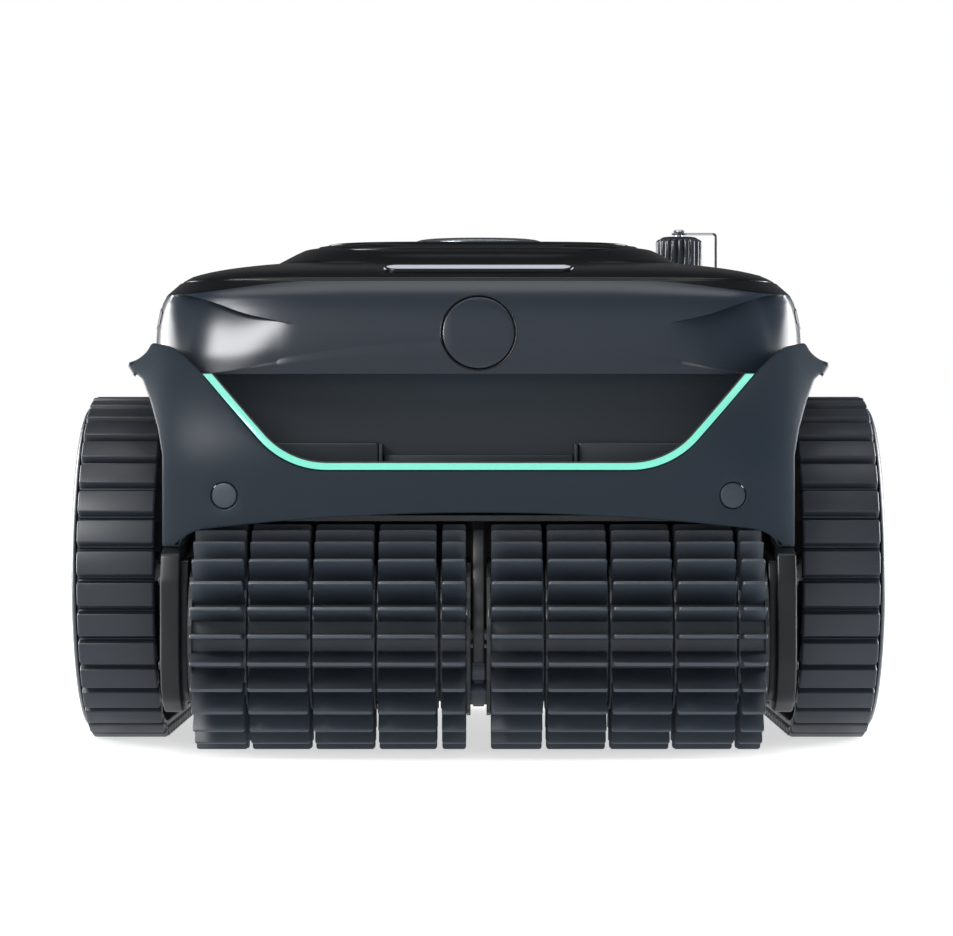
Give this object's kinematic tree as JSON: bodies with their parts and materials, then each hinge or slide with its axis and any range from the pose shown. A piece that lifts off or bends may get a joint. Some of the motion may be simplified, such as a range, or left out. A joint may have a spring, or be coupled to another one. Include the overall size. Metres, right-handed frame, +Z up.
{
  "type": "pool cleaner",
  "caption": "Cordless pool-cleaning robot on rubber tracks, with finned brush rollers, U-shaped light strip, round front button, hinged filter lid and capped charging port.",
  "frame": {"origin": "on the ground, under the middle of the robot", "axes": "+Z up, -Y towards the front with the rollers, +X towards the side with the charging port"},
  "size_m": [0.431, 0.4488, 0.2893],
  "materials": {
    "shell_slate": "satin slate grey moulded plastic",
    "cover_black": "near-black gloss moulded plastic",
    "frame_dark": "dark matt moulded plastic",
    "track_rubber": "matt slate grey rubber",
    "steel": "plain stainless steel",
    "plate_silver": "light silver grey satin",
    "strip_teal": "bright aqua light guide",
    "lens_white": "pale lavender light lens",
    "motor_metal": "grey coated steel can"
  },
  "bodies": {
    "chassis": {"front_bumper": "shell_slate", "upper_shell": "shell_slate", "carry_handle": "shell_slate", "track_cover_left": "shell_slate", "screw_plug_left": "shell_slate", "track_cover_right": "shell_slate", "screw_plug_right": "shell_slate", "top_cover": "cover_black", "bottom_chassis": "frame_dark", "recess_panel": "frame_dark", "roller_hood": "frame_dark", "center_bracket": "frame_dark", "button_carrier": "frame_dark", "filter_basket": "frame_dark", "intake_duct": "frame_dark", "outlet_duct": "frame_dark", "outlet_grille": "frame_dark", "battery_pack": "frame_dark", "control_box": "frame_dark", "charging_socket": "frame_dark", "track_frame_left": "frame_dark", "side_bracket_left": "frame_dark", "track_frame_right": "frame_dark", "side_bracket_right": "frame_dark", "cap_tether": "track_rubber", "track_left": "track_rubber", "drive_belt_left": "track_rubber", "track_right": "track_rubber", "drive_belt_right": "track_rubber", "lid_hinge_pin": "steel", "button_spring": "steel", "light_strip": "strip_teal", "status_light_lens": "lens_white", "pump_motor": "motor_metal", "drive_motor_left": "motor_metal", "drive_motor_right": "motor_metal"},
    "lid": {"filter_lid": "cover_black", "lid_oval_plate": "plate_silver", "lid_seal": "track_rubber"},
    "power_button": {"power_button": "shell_slate"},
    "charging_cap": {"charging_cap": "cover_black", "cap_rivet": "steel"},
    "intake_flap": {"intake_flap": "track_rubber"},
    "impeller": {"impeller": "frame_dark"},
    "drive_wheel_left": {"drive_wheel_left": "frame_dark", "drive_shaft_left": "steel"},
    "front_wheel_left": {"front_wheel_left": "frame_dark", "front_shaft_left": "steel"},
    "roller_left": {"roller_brush_left": "track_rubber", "roller_core_left": "frame_dark", "roller_shaft_left": "steel"},
    "drive_wheel_right": {"drive_wheel_right": "frame_dark", "drive_shaft_right": "steel"},
    "front_wheel_right": {"front_wheel_right": "frame_dark", "front_shaft_right": "steel"},
    "roller_right": {"roller_brush_right": "track_rubber", "roller_core_right": "frame_dark", "roller_shaft_right": "steel"}
  },
  "joints": [
    {"name": "drive_wheel_left_spin", "type": "hinge", "parent": "chassis", "child": "drive_wheel_left", "pos_m": [-0.193, 0.12, 0.094], "axis": [1, 0, 0], "continuous": true},
    {"name": "front_wheel_left_spin", "type": "hinge", "parent": "chassis", "child": "front_wheel_left", "pos_m": [-0.193, -0.07, 0.094], "axis": [1, 0, 0], "continuous": true},
    {"name": "roller_left_spin", "type": "hinge", "parent": "chassis", "child": "roller_left", "pos_m": [-0.077, -0.165, 0.06], "axis": [1, 0, 0], "continuous": true},
    {"name": "drive_wheel_right_spin", "type": "hinge", "parent": "chassis", "child": "drive_wheel_right", "pos_m": [0.193, 0.12, 0.094], "axis": [1, 0, 0], "continuous": true},
    {"name": "front_wheel_right_spin", "type": "hinge", "parent": "chassis", "child": "front_wheel_right", "pos_m": [0.193, -0.07, 0.094], "axis": [1, 0, 0], "continuous": true},
    {"name": "roller_right_spin", "type": "hinge", "parent": "chassis", "child": "roller_right", "pos_m": [0.077, -0.165, 0.06], "axis": [1, 0, 0], "continuous": true},
    {"name": "impeller_spin", "type": "hinge", "parent": "chassis", "child": "impeller", "pos_m": [0, 0.118, 0.22], "axis": [0, 0, 1], "continuous": true},
    {"name": "lid_hinge", "type": "hinge", "parent": "chassis", "child": "lid", "pos_m": [0, 0.075, 0.2705], "axis": [-1, 0, 0], "range_deg": [0, 95]},
    {"name": "power_button_press", "type": "slide", "parent": "chassis", "child": "power_button", "axis": [0, 1, 0], "range_m": [0, 0.002], "stiffness_N_per_m": 800, "springref_m": -0.001, "deforming": ["button_spring"]},
    {"name": "charging_cap_turn", "type": "hinge", "parent": "chassis", "child": "charging_cap", "pos_m": [0.1185, 0.06, 0.275], "axis": [0, 0, 1], "range_deg": [0, 90]},
    {"name": "intake_flap_hinge", "type": "hinge", "parent": "chassis", "child": "intake_flap", "pos_m": [0, -0.037, 0.155], "axis": [-1, 0, 0], "range_deg": [0, 60]}
  ],
  "couplings": [
    {"joint": "front_wheel_left_spin", "follows": "drive_wheel_left_spin", "ratio": 1},
    {"joint": "roller_left_spin", "follows": "drive_wheel_left_spin", "ratio": 1.5},
    {"joint": "front_wheel_right_spin", "follows": "drive_wheel_right_spin", "ratio": 1},
    {"joint": "roller_right_spin", "follows": "drive_wheel_right_spin", "ratio": 1.5}
  ]
}
